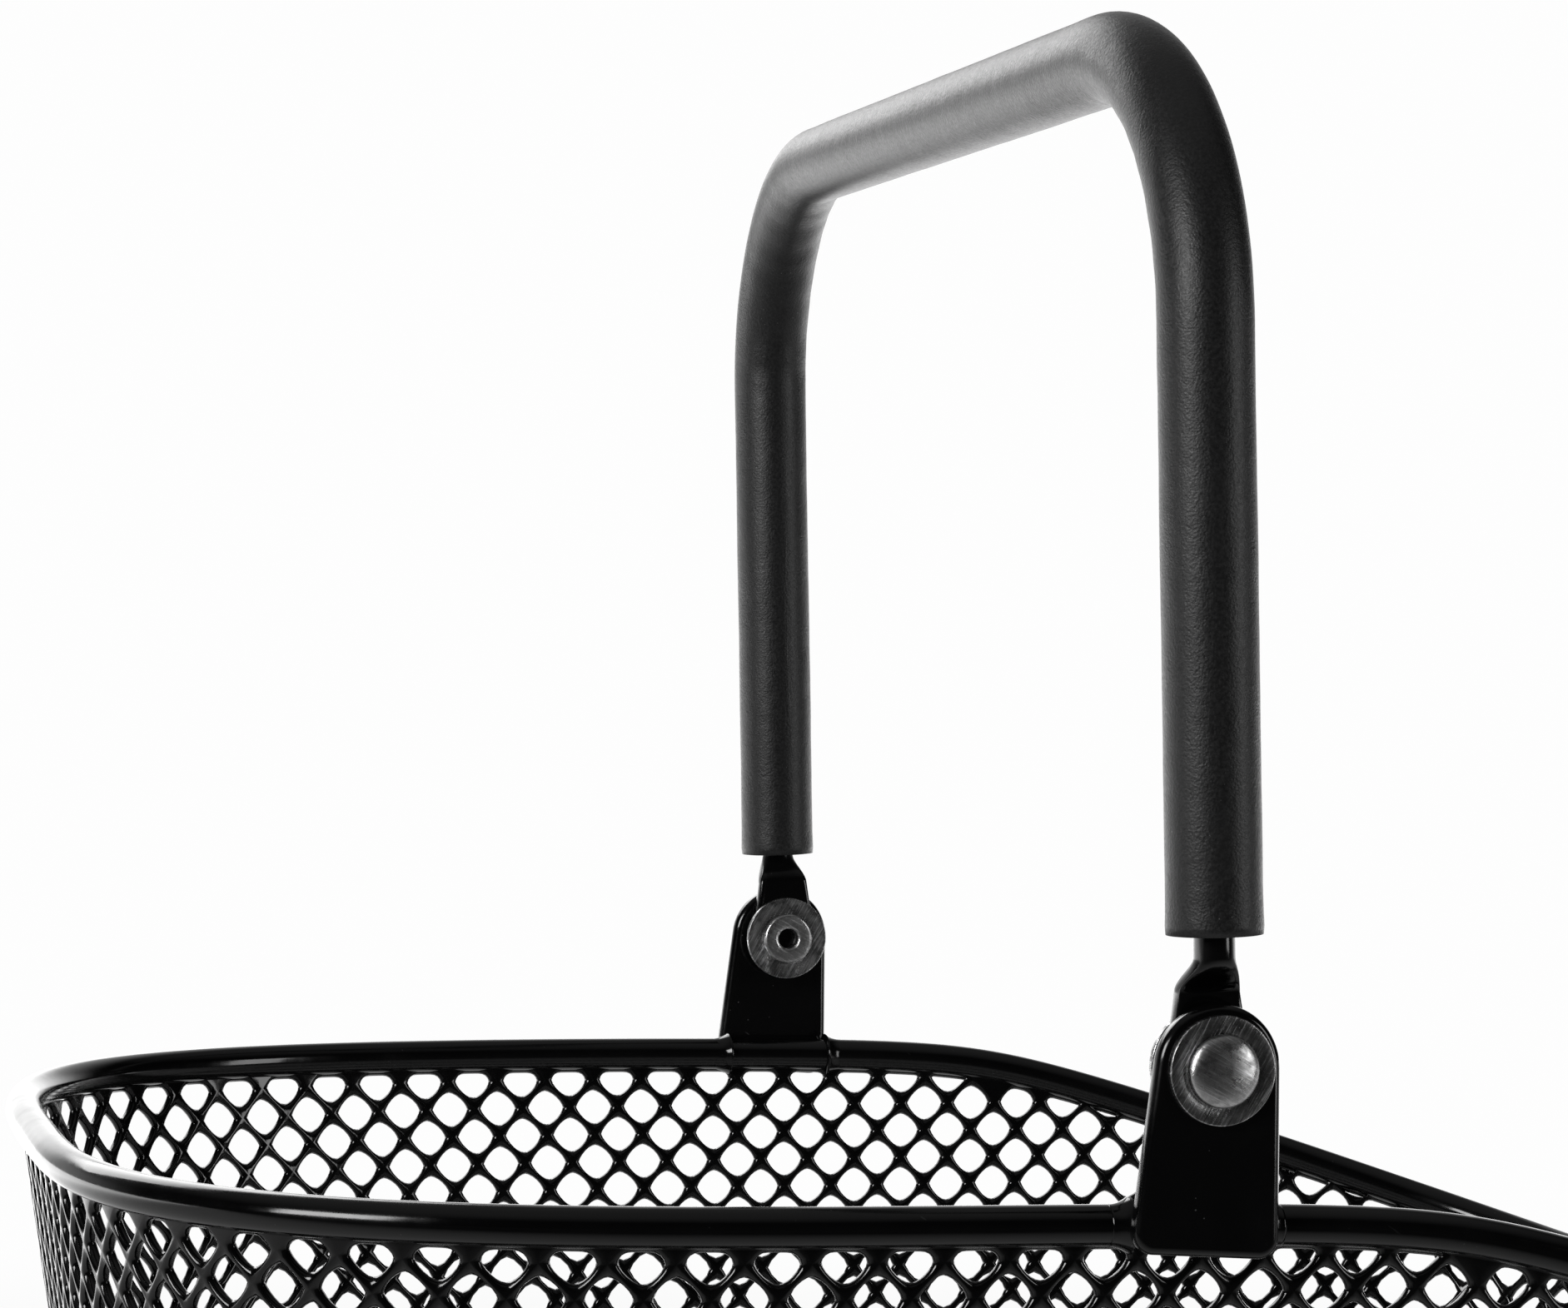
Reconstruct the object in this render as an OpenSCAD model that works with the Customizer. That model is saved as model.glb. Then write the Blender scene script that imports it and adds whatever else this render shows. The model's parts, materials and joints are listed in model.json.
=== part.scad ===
// Carrying basket of expanded metal with a folding bail handle, in millimetres.
// +Z is up and the floor is at z = 0. +X points to the end whose rim is lowered, and the handle swings
// about an axis along Y. The origin is under the middle of the rim.

/* [Basket] */
// Length over the rim, end to end
rim_length = 416; // [360:2:480]
// Width over the rim, side to side
rim_width = 322; // [260:2:340]
// Height of the rim's top at the high end
rim_top = 218; // [180:2:260]
// Slope of the end walls off vertical, in degrees
end_taper = 9; // [4:0.5:12]
// Slope of the side walls off vertical, in degrees
side_taper = 6; // [3:0.5:9]
// Squareness of the high end's corners, as a superellipse exponent
front_squareness = 3.4; // [2.6:0.1:5]
// Squareness of the low end's corners
back_squareness = 5; // [3:0.1:6]

/* [Lowered end] */
// Distance from the handle to where the rim starts down
drop_start = 54; // [35:1:80]
// Slope of the lowered rim, in degrees
drop_slope = 17.5; // [0:0.5:20]

/* [Wire and sheet] */
// Diameter of the rim
rim_wire = 8; // [6:0.5:10]
// Diameter of the hoop round the floor
base_wire = 6; // [5:0.5:8]
// Thickness of the expanded sheet
sheet = 1.6; // [1:0.1:2]
// Diameter of the stiffening wires on the floor
floor_wire = 4; // [3:0.5:5]

/* [Handle] */
// Height from the pivot to the middle of the top bar
handle_rise = 195; // [170:1:200]
// Height of the pivot above the middle of the rim
pivot_rise = 29; // [25:0.5:32]
// Diameter of the handle's rod
rod = 8; // [7:0.5:9]
// Diameter of the grip sleeve
grip = 18.6; // [16:0.2:20]
// Radius of the handle's two bends
bend = 55; // [40:1:65]
// How far the round legs sit outwards of their flattened ends
leg_offset = 4.5; // [0:0.5:7]
// Lean of the standing handle towards the high end, in degrees
lean = 2; // [0:0.5:4]

/* [Pivots] */
// Radius of the bracket's round top
bracket_top = 12.3; // [12:0.1:14]
// Thickness of the bracket's plate
bracket_plate = 4.5; // [3:0.5:5]
// Lean of the brackets towards the low end, in degrees
bracket_lean = 3.3; // [0:0.1:4]
// Diameter of the pivot washers
washer = 20.8; // [18:0.2:22]
// Diameter of the rivet's shank
shank = 8; // [6:0.5:8]

/* [Hidden] */
$fn = 64;
STATIONS = 112;                        // stations round the basket
WIRE_SIDES = 16;                       // sides of a swept wire
FIT = 0.06;                            // radial clearance of a running pin
GAP = 0.3;                             // side clearance between pieces that turn on each other
WELD = 0.04;                           // gap left where pieces are welded together
EPS = 0.01;

// heights
floor_wire_pitch = 92;                 // distance between the wires on the floor
skid_t = 2;
base_z = 3.5;                          // middle of the base hoop
floor_z = 2;                           // underside of the floor sheet
rim_z = rim_top - rim_wire / 2;        // middle of the rim at the high end
pivot_z = rim_z + pivot_rise;

// rim outline, taken at the high end's level
half_width = (rim_width - rim_wire) / 2;
front_reach = (rim_length - rim_wire) / 2;
back_reach = front_reach + rim_drop(front_reach) * tan(end_taper);

// places across the basket, outwards from its middle plane
plate_in = half_width + rim_wire / 2 + 0.05;
paddle_t = 4.1;
paddle_mid = plate_in - 0.35 - paddle_t / 2;
washer_t = 1.6;
inner_washer_out = paddle_mid - paddle_t / 2 - GAP;
plate_out = plate_in + bracket_plate;

// handle path, with the pivot at height 0
leg_y = paddle_mid + leg_offset;
bend_y = leg_y - bend;
bend_z = handle_rise - bend;
grip_start_left = 25.3;                // the sleeve's ends sit a little unevenly on the legs
grip_start_right = 21.5;
flat_top = 16.5;                       // height above the pivot where the rod is still flat
round_from = 21.2;                     // height above the pivot where the rod is round again

// Fall of the rim below its high level at x, a slope with a rounded start.
function rim_drop(x) =
    let (run = x - drop_start, soft = 26)
    tan(drop_slope) * (run + sqrt(run * run + soft * soft)) / 2;

// One coordinate of a superellipse: a signed power of a sine or cosine.
function power(v, e) = sign(v) * pow(abs(v), e);

// Point of the wall's middle surface at station angle t and height z. inset moves it inwards.
function wall_point(t, z, inset = 0) =
    let (
        below = rim_z - z,
        n = cos(t) < 0 ? front_squareness : back_squareness,
        reach = (cos(t) < 0 ? front_reach : back_reach) - below * tan(end_taper) - inset,
        half = half_width - below * tan(side_taper) - inset
    )
    [reach * power(cos(t), 2 / n), half * power(sin(t), 2 / n), z];

// Stations are spread so that they are even along the flats and closer in the corners.
function station(i) =
    let (q = 360 * i / STATIONS)
    q - 7 * sin(4 * q);

function rim_height(t) = rim_z - rim_drop(wall_point(t, rim_z)[0]);
function rim_point(t) = wall_point(t, rim_height(t));

// Height just under the rim's wire at station t. The wire is taller where it slopes.
function under_rim(t) =
    let (x = wall_point(t, rim_z)[0], slope = (rim_drop(x + 1) - rim_drop(x - 1)) / 2)
    rim_height(t) - (rim_wire / 2 + WELD) * sqrt(1 + slope * slope);

function unit(v) = v / norm(v);

// Rings of a round wire swept round a closed line of points.
function ring_points(line, r) = [
    for (i = [0:len(line) - 1])
        let (
            n = len(line),
            along = unit(line[(i + 1) % n] - line[(i + n - 1) % n]),
            side = unit(cross(along, [0, 0, 1])),
            rise = cross(side, along)
        )
        for (k = [0:WIRE_SIDES - 1])
            let (a = 360 * k / WIRE_SIDES)
            line[i] + r * (cos(a) * side + sin(a) * rise)
];

module swept_loop(line, r) {
    rings = len(line);
    polyhedron(ring_points(line, r), [
        for (i = [0:rings - 1], k = [0:WIRE_SIDES - 1])
            let (j = (i + 1) % rings, m = (k + 1) % WIRE_SIDES)
            [i * WIRE_SIDES + k, i * WIRE_SIDES + m, j * WIRE_SIDES + m, j * WIRE_SIDES + k]
    ]);
}

// Sheet wall: a closed skin between an outer and an inner surface, open at the top and bottom.
module wall_mesh() {
    foot = base_z + base_wire / 2 + WELD;
    rows = 5;
    function level(t, j) = foot + (under_rim(t) - foot) * j / (rows - 1);
    pts = [
        for (i = [0:STATIONS - 1])
            let (t = station(i))
            each concat(
                [for (j = [0:rows - 1]) wall_point(t, level(t, j), -sheet / 2)],
                [for (j = [rows - 1:-1:0]) wall_point(t, level(t, j), sheet / 2)]
            )
    ];
    loop = 2 * rows;
    color([0.04, 0.04, 0.045])
    polyhedron(pts, [
        for (i = [0:STATIONS - 1], j = [0:loop - 1])
            let (n = (i + 1) % STATIONS, m = (j + 1) % loop)
            each [
                [i * loop + j, i * loop + m, n * loop + m],
                [i * loop + j, n * loop + m, n * loop + j]
            ]
    ]);
}

// Flat outline of the basket at height z, drawn inwards by inset.
module outline(z, inset) {
    polygon([
        for (i = [0:STATIONS - 1])
            let (p = wall_point(station(i), z, inset))
            [p[0], p[1]]
    ]);
}

module floor_mesh() {
    color([0.04, 0.04, 0.045])
    translate([0, 0, floor_z]) linear_extrude(sheet) outline(base_z, base_wire / 2 + WELD);
}

module rim_hoop() {
    color([0.03, 0.03, 0.035])
    swept_loop([for (i = [0:STATIONS - 1]) rim_point(station(i))], rim_wire / 2);
}

module base_hoop() {
    color([0.03, 0.03, 0.035])
    swept_loop([for (i = [0:STATIONS - 1]) wall_point(station(i), base_z)], base_wire / 2);
}

// Stiffening wire across the floor at x, lying on the sheet and ending at the base hoop.
module floor_wire(x) {
    rise = rim_z - base_z;
    n = x < 0 ? front_squareness : back_squareness;
    length = (x < 0 ? front_reach : back_reach) - rise * tan(end_taper);
    half = half_width - rise * tan(side_taper);
    reach = half * pow(1 - pow(abs(x) / length, n), 1 / n) - base_wire / 2 - 0.2;
    color([0.03, 0.03, 0.035])
    translate([x, -reach, floor_z + sheet + floor_wire / 2 + WELD])
        rotate([-90, 0, 0]) cylinder(h = 2 * reach, d = floor_wire);
}

// Flat bar under the floor that the basket stands and slides on.
module skid(side) {
    length = 300;
    width = 18;
    color([0.03, 0.03, 0.035])
    translate([0, side * 62, 0]) {
        translate([-length / 2, -width / 2, 0]) cube([length, width, skid_t]);
        for (end = [-1, 1]) translate([end * length / 2, 0, 0]) cylinder(h = skid_t, d = width);
    }
}

// Plate of a bracket lying on z = 0, with the pivot at the origin and its foot towards -Y.
module bracket_blank() {
    corner = 4;
    foot_half = 14.4;
    foot_drop = 35.2;
    cx = foot_half - corner;
    cy = corner - foot_drop;
    // the straight edge touches the top circle and the corner circle
    apart = sqrt(cx * cx + cy * cy);
    turn = atan2(cy, cx) + acos((bracket_top - corner) / apart);
    edge = [cos(turn), sin(turn)];
    in = 0.03;                         // the straight edges lie this far inside the round ones
    waist = (bracket_top - in) * edge;
    heel = [cx, cy] + (corner - in) * edge;
    cylinder(h = bracket_plate, r = bracket_top);
    for (s = [-1, 1]) translate([s * cx, cy, 0]) cylinder(h = bracket_plate, r = corner);
    linear_extrude(bracket_plate) polygon([
        waist, heel, [cx, in - foot_drop],
        [-cx, in - foot_drop], [-heel[0], heel[1]], [-waist[0], waist[1]]
    ]);
}

// Stands its children, drawn along +Z with the basket's middle plane at 0, out along one side's pivot axis.
module on_pivot(side) {
    translate([0, 0, pivot_z]) mirror([0, side < 0 ? 1 : 0, 0]) rotate([-90, 0, 0]) children();
}

module bracket(side) {
    color([0.02, 0.02, 0.025])
    on_pivot(side) difference() {
        translate([0, 0, plate_in]) mirror([0, 1, 0]) rotate([0, 0, -bracket_lean]) bracket_blank();
        cylinder(h = 2 * plate_out, d = shank + 2 * FIT);
    }
}

module pivot_washer(side, inner_face) {
    color([0.55, 0.55, 0.57])
    on_pivot(side) translate([0, 0, inner_face]) difference() {
        cylinder(h = washer_t, d = washer);
        translate([0, 0, -EPS]) cylinder(h = washer_t + 2 * EPS, d = shank + 2 * FIT);
    }
}

// Tubular rivet: domed head outside, shank, and a rolled flange round its open end inside.
module rivet(side) {
    head_r = 6.9;
    head_h = 2.6;
    dome = (head_r * head_r + head_h * head_h) / (2 * head_h);
    tail_r = 6.4;
    tail_h = 1.8;
    tube_hole = 5;
    head_face = plate_out + washer_t;
    tail_face = inner_washer_out - washer_t;
    color([0.6, 0.6, 0.62])
    on_pivot(side) difference() {
        union() {
            translate([0, 0, tail_face - EPS]) cylinder(h = head_face - tail_face + 2 * EPS, d = shank);
            translate([0, 0, head_face]) rotate_extrude() intersection() {
                translate([0, head_h - dome]) circle(r = dome, $fn = 128);
                square([head_r, head_h]);
            }
            translate([0, 0, tail_face - tail_h]) rotate_extrude() union() {
                translate([0, tail_h / 2]) square([tail_r - tail_h / 2, tail_h / 2]);
                square([tail_r - tail_h / 2, tail_h]);
                translate([tail_r - tail_h / 2, tail_h / 2]) circle(d = tail_h, $fn = 32);
            }
        }
        translate([0, 0, tail_face - tail_h - EPS]) cylinder(h = 8, d = tube_hole);
    }
}

// Everything on the handle is drawn upright about the pivot, then leaned as it stands.
module as_it_stands() {
    translate([0, 0, pivot_z]) rotate([0, -lean, 0]) children();
}

// Round bar along the handle's path on both sides, its legs starting the given heights above the pivot.
module bail(d, start_left, start_right) {
    translate([0, -bend_y, handle_rise]) rotate([-90, 0, 0]) cylinder(h = 2 * bend_y, d = d);
    for (side = [-1, 1]) mirror([0, side < 0 ? 1 : 0, 0]) {
        start = side < 0 ? start_left : start_right;
        translate([0, leg_y, start]) cylinder(h = bend_z - start, d = d);
        translate([0, bend_y, bend_z]) rotate([90, 0, 90])
            rotate_extrude(angle = 90) translate([bend, 0]) circle(d = d);
    }
}

// One steel rod, its ends flattened into eyes for the rivets.
module handle_rod() {
    eye = 17;
    neck = 12.4;
    color([0.03, 0.03, 0.035])
    as_it_stands() difference() {
        union() {
            bail(rod, round_from, round_from);
            for (side = [-1, 1]) mirror([0, side < 0 ? 1 : 0, 0]) {
                translate([0, paddle_mid - paddle_t / 2, 0]) rotate([-90, 0, 0])
                    cylinder(h = paddle_t, d = eye);
                hull() {
                    translate([0, leg_y, round_from - 1]) cylinder(h = 2, d = rod - 0.2, $fn = 32);
                    translate([-neck / 2, paddle_mid - paddle_t / 2, flat_top - 1])
                        cube([neck, paddle_t, 1]);
                }
                translate([0, paddle_mid + paddle_t / 2, 0]) rotate([90, 0, 0])
                    linear_extrude(paddle_t) polygon([
                        [-eye / 2, 0], [eye / 2, 0], [neck / 2, flat_top - 0.5], [-neck / 2, flat_top - 0.5]
                    ]);
            }
        }
        rotate([90, 0, 0]) cylinder(h = 4 * half_width, d = shank + 2 * FIT, center = true);
    }
}

// Soft sleeve over the whole rod, from leg to leg.
module grip_sleeve() {
    color([0.12, 0.12, 0.12])
    as_it_stands() difference() {
        bail(grip, grip_start_left, grip_start_right);
        bail(rod + 0.1, grip_start_left - 1, grip_start_right - 1);
    }
}

wall_mesh();
floor_mesh();
rim_hoop();
base_hoop();
floor_wire(-floor_wire_pitch);  // floor_wire_1
floor_wire(0);  // floor_wire_2
floor_wire(floor_wire_pitch);  // floor_wire_3
skid(-1);  // skid_left
skid(1);  // skid_right
bracket(-1);  // bracket_left
bracket(1);  // bracket_right
rivet(-1);  // rivet_left
rivet(1);  // rivet_right
pivot_washer(-1, plate_out);  // outer_washer_left
pivot_washer(1, plate_out);  // outer_washer_right
pivot_washer(-1, inner_washer_out - washer_t);  // inner_washer_left
pivot_washer(1, inner_washer_out - washer_t);  // inner_washer_right
handle_rod();
grip_sleeve();
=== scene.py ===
"""Looks of the shopping basket: expanded mesh, wires, bevelled plates, turned rivets, a foam sleeve."""

import json
import math

import bmesh
import bpy
import numpy as np
from mathutils import Matrix, Vector, noise


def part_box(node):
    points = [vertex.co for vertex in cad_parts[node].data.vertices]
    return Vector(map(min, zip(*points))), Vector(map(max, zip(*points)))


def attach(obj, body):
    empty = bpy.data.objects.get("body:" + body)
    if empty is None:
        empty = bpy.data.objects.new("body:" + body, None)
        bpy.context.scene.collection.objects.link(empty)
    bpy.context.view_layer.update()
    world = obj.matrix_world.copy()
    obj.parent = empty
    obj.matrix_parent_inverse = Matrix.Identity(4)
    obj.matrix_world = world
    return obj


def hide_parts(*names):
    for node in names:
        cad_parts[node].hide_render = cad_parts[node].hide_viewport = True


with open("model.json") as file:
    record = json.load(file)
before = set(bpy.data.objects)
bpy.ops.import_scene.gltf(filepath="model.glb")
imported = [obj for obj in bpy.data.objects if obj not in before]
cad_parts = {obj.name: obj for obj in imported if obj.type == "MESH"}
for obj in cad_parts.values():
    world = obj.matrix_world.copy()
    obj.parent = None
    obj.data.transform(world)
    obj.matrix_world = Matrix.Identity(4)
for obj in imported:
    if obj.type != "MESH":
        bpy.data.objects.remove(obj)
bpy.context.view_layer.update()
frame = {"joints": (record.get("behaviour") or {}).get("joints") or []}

MM = 0.001

# ---------------------------------------------------------------- dimensions, metres

RIM_R = 4 * MM
BASE_R = 3 * MM
rim_lo, rim_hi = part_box("rim_hoop")
HALF_W = (rim_hi.y - rim_lo.y) / 2 - RIM_R
FRONT = -rim_lo.x - RIM_R
RIM_Z = rim_hi.z - RIM_R
base_lo, base_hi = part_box("base_hoop")
BASE_Z = (base_lo.z + base_hi.z) / 2
END_TAPER = math.tan(math.radians(9))
SIDE_TAPER = math.tan(math.radians(6))
FRONT_POWER = 3.4
BACK_POWER = 5.0
DROP_START = 54 * MM
DROP_SLOPE = math.tan(math.radians(17.5))
DROP_SOFT = 26 * MM

joint = frame["joints"][0]
PIVOT_Z = joint["pos_m"][2]
LEAN = math.radians(2)
plate_lo, plate_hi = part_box("bracket_right")
PLATE_IN = plate_lo.y
PLATE_OUT = plate_hi.y
PADDLE_T = 4.1 * MM                   # the rod's flattened ends
PADDLE_MID = PLATE_IN - 0.35 * MM - PADDLE_T / 2
PIVOT_GAP = 0.3 * MM                  # between an inner washer and the flattened end
ROD_R = 4 * MM
GRIP_R = 9.3 * MM
LEG_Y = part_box("grip_sleeve")[1].y - GRIP_R
BEND = 55 * MM
RISE = 195 * MM
GRIP_START_LEFT = 25.3 * MM
GRIP_START_RIGHT = 21.5 * MM

# mesh cells
PITCH = 12.75 * MM
ROW = 6.9 * MM
HOLE_X = 4.5 * MM
HOLE_Z = 4.2 * MM
HOLE_POWER = 1.5
STRAND_H = 1.2 * MM


def drop(x):
    """Fall of the rim below its high level at x."""
    run = x - DROP_START
    return DROP_SLOPE * (run + np.sqrt(run * run + DROP_SOFT * DROP_SOFT)) / 2


BACK = FRONT + float(drop(FRONT)) * END_TAPER


def signed_power(v, e):
    """One coordinate of a superellipse from a sine or cosine."""
    return np.sign(v) * np.abs(v) ** e


def wall_xy(t, z, inset=0.0):
    """Plan place of the wall's middle surface at station angle t (radians) and height z."""
    below = RIM_Z - z
    front = np.cos(t) < 0
    n = np.where(front, FRONT_POWER, BACK_POWER)
    reach = np.where(front, FRONT, BACK) - below * END_TAPER - inset
    half = HALF_W - below * SIDE_TAPER - inset
    return reach * signed_power(np.cos(t), 2 / n), half * signed_power(np.sin(t), 2 / n)


def rim_z(t):
    """Height of the rim's middle at station angle t."""
    return RIM_Z - drop(wall_xy(t, RIM_Z)[0])


# ---------------------------------------------------------------- mesh helpers


def new_object(name, verts, faces, material, body):
    """A finished object from plain lists of vertices and faces."""
    mesh = bpy.data.meshes.new(name)
    mesh.from_pydata([tuple(v) for v in verts], [], faces)
    mesh.update()
    return finish_object(name, mesh, material, body)


def finish_object(name, mesh, material, body):
    """Puts a finished mesh in the scene, smooth shaded, on the body it moves with."""
    obj = bpy.data.objects.new(name, mesh)
    bpy.context.scene.collection.objects.link(obj)
    mesh.materials.append(material)
    mesh.polygons.foreach_set("use_smooth", [True] * len(mesh.polygons))
    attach(obj, body)
    return obj


def object_from_bmesh(name, bm, material, body):
    """A finished object from a bmesh, its faces turned outwards. The bmesh is freed."""
    bmesh.ops.recalc_face_normals(bm, faces=bm.faces)
    mesh = bpy.data.meshes.new(name)
    bm.to_mesh(mesh)
    bm.free()
    return finish_object(name, mesh, material, body)


def arc_length_stations(count):
    """Station angles spread evenly by length round the rim."""
    fine = np.linspace(0, 2 * math.pi, 6001)
    x, y = wall_xy(fine, RIM_Z)
    length = np.concatenate([[0], np.cumsum(np.hypot(np.diff(x), np.diff(y)))])
    return np.interp(np.linspace(0, length[-1], count, endpoint=False), length, fine)


def closed_sweep(points, radius, sides):
    """Vertices and faces of a round wire along a closed line."""
    n = len(points)
    along = np.roll(points, -1, 0) - np.roll(points, 1, 0)
    along /= np.linalg.norm(along, axis=1)[:, None]
    side = np.cross(along, [0, 0, 1.0])
    side /= np.linalg.norm(side, axis=1)[:, None]
    rise = np.cross(side, along)
    a = np.linspace(0, 2 * math.pi, sides, endpoint=False)
    ring = np.cos(a)[None, :, None] * side[:, None, :] + np.sin(a)[None, :, None] * rise[:, None, :]
    verts = (points[:, None, :] + radius * ring).reshape(-1, 3)
    faces = []
    for i in range(n):
        j = (i + 1) % n
        for k in range(sides):
            m = (k + 1) % sides
            faces.append((i * sides + k, j * sides + k, j * sides + m, i * sides + m))
    return verts, faces


def lathe(profile, steps=64):
    """Turned solid about the Y axis from (radius, y) pairs. The profile closes, or ends on the axis."""
    bm = bmesh.new()
    rings = []
    for r, y in profile:
        if r == 0:
            rings.append([bm.verts.new((0, y, 0))])
        else:
            ring = [2 * math.pi * k / steps for k in range(steps)]
            rings.append([bm.verts.new((r * math.cos(a), y, r * math.sin(a))) for a in ring])
    for a, b in zip(rings, rings[1:]):
        for k in range(steps):
            m = (k + 1) % steps
            quad = [a[k % len(a)], a[m % len(a)], b[m % len(b)], b[k % len(b)]]
            corners = list(dict.fromkeys(quad))
            if len(corners) > 2:
                bm.faces.new(corners)
    return bm


def arc(cx, cy, r, start, end, steps):
    """Points (x, y) along an arc, angles in degrees."""
    angles = [math.radians(start + (end - start) * i / steps) for i in range(steps + 1)]
    return [(cx + r * math.cos(a), cy + r * math.sin(a)) for a in angles]


# ---------------------------------------------------------------- materials


class Nodes:
    """Short way to build a node material."""

    def __init__(self, name):
        self.material = bpy.data.materials.new(name)
        self.material.use_nodes = True
        self.tree = self.material.node_tree
        self.shader = self.tree.nodes["Principled BSDF"]
        coordinates = self.add("ShaderNodeTexCoord")
        self.place = coordinates.outputs["Object"]

    def add(self, kind, **values):
        node = self.tree.nodes.new(kind)
        for key, value in values.items():
            setattr(node, key, value)
        return node

    def link(self, a, b):
        self.tree.links.new(a, b)

    def mapped(self, scale, rotation=(0, 0, 0)):
        """The place, turned first and stretched after, so that a stretched pattern runs the turned way."""
        turned_place = self.add("ShaderNodeMapping")
        turned_place.inputs["Rotation"].default_value = rotation
        self.link(self.place, turned_place.inputs["Vector"])
        node = self.add("ShaderNodeMapping")
        node.inputs["Scale"].default_value = scale
        self.link(turned_place.outputs["Vector"], node.inputs["Vector"])
        return node.outputs["Vector"]

    def noise(self, scale, detail=3.0, rough=0.5, vector=None):
        node = self.add("ShaderNodeTexNoise")
        node.inputs["Scale"].default_value = scale
        node.inputs["Detail"].default_value = detail
        node.inputs["Roughness"].default_value = rough
        self.link(vector or self.place, node.inputs["Vector"])
        return node.outputs["Fac"]

    def cells(self, scale):
        """Distance from the nearest of many scattered points."""
        node = self.add("ShaderNodeTexVoronoi", feature="F1")
        node.inputs["Scale"].default_value = scale
        self.link(self.place, node.inputs["Vector"])
        return node.outputs["Distance"]

    def ramp(self, value, low, high, a=0.0, b=1.0):
        """a where the value is low, b where it is high, with a soft step between."""
        node = self.add("ShaderNodeMapRange", interpolation_type="SMOOTHSTEP")
        node.inputs["From Min"].default_value = low
        node.inputs["From Max"].default_value = high
        node.inputs["To Min"].default_value = a
        node.inputs["To Max"].default_value = b
        self.link(value, node.inputs["Value"])
        return node.outputs["Result"]

    def math(self, operation, a, b):
        node = self.add("ShaderNodeMath", operation=operation)
        for value, socket in ((a, node.inputs[0]), (b, node.inputs[1])):
            if isinstance(value, (int, float)):
                socket.default_value = value
            else:
                self.link(value, socket)
        return node.outputs[0]

    def mix(self, factor, a, b):
        node = self.add("ShaderNodeMix", data_type="RGBA")
        self.link(factor, node.inputs["Factor"])
        for value, socket in ((a, node.inputs["A"]), (b, node.inputs["B"])):
            if isinstance(value, tuple):
                socket.default_value = (*value, 1)
            else:
                self.link(value, socket)
        return node.outputs["Result"]

    def bump(self, height, distance, strength=1.0, under=None):
        node = self.add("ShaderNodeBump")
        node.inputs["Distance"].default_value = distance
        node.inputs["Strength"].default_value = strength
        self.link(height, node.inputs["Height"])
        if under is not None:
            self.link(under, node.inputs["Normal"])
        return node.outputs["Normal"]

    def finish(self, colour=None, roughness=None, normal=None, **constants):
        for value, name in ((colour, "Base Color"), (roughness, "Roughness"), (normal, "Normal")):
            if value is not None:
                self.link(value, self.shader.inputs[name])
        for name, value in constants.items():
            self.shader.inputs[name.replace("_", " ")].default_value = value
        return self.material


def coated_metal(name, wear):
    """Thick glossy black coating: orange peel, hairline scratches and light specks; wear is their amount."""
    n = Nodes(name)
    stretched = n.mapped((700, 240, 130), (0.3, 0.9, 0.4))
    scratches = n.ramp(n.noise(1.0, 2.0, 0.6, stretched), 0.7, 0.74)
    patches = n.ramp(n.noise(55, 4.0, 0.6), 0.5, 0.66)
    specks = n.ramp(n.cells(420), 0.09, 0.05)
    rare = n.ramp(n.noise(90, 2.0), 0.52, 0.62)
    dust = n.math("MULTIPLY", specks, rare)
    marks = n.math("MAXIMUM", n.math("MULTIPLY", scratches, patches), dust)
    marks = n.math("MULTIPLY", marks, wear)
    shade = n.mix(n.noise(30, 4.0), (0.0015, 0.0015, 0.0016), (0.0035, 0.0035, 0.0037))
    colour = n.mix(marks, shade, (0.11, 0.11, 0.112))
    gloss = n.ramp(n.noise(70, 5.0, 0.6), 0.3, 0.75, 0.09, 0.2)
    roughness = n.math("ADD", gloss, n.math("MULTIPLY", marks, 0.35))
    peel = n.bump(n.noise(650, 2.0), 0.00003, 0.2)
    normal = n.bump(n.noise(110, 2.0), 0.0001, 0.25, peel)
    return n.finish(colour, roughness, normal, IOR=1.5)


def bare_steel(name, shade_low, shade_high, angle):
    """Worn steel with straight brushed scratches at the given angle, cloudy stains and bright pits."""
    n = Nodes(name)
    brushed = n.mapped((110, 110, 2600), (0, angle, 0))
    lines = n.noise(1.0, 4.0, 0.75, brushed)
    stains = n.noise(260, 5.0, 0.65)
    pits = n.ramp(n.cells(900), 0.12, 0.05)
    bright = n.math("MULTIPLY", n.ramp(lines, 0.55, 0.62), n.ramp(stains, 0.3, 0.55))
    value = n.math("MAXIMUM", bright, n.math("MULTIPLY", pits, n.ramp(stains, 0.5, 0.62)))
    base = n.mix(n.ramp(lines, 0.3, 0.6), (shade_low,) * 3, (shade_high,) * 3)
    base = n.mix(n.ramp(stains, 0.4, 0.7), base, (shade_low * 0.5,) * 3)
    colour = n.mix(value, base, (0.8, 0.8, 0.81))
    roughness = n.ramp(stains, 0.3, 0.7, 0.22, 0.4)
    normal = n.bump(lines, 0.0001, 0.6)
    return n.finish(colour, roughness, normal, Metallic=1.0)


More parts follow.
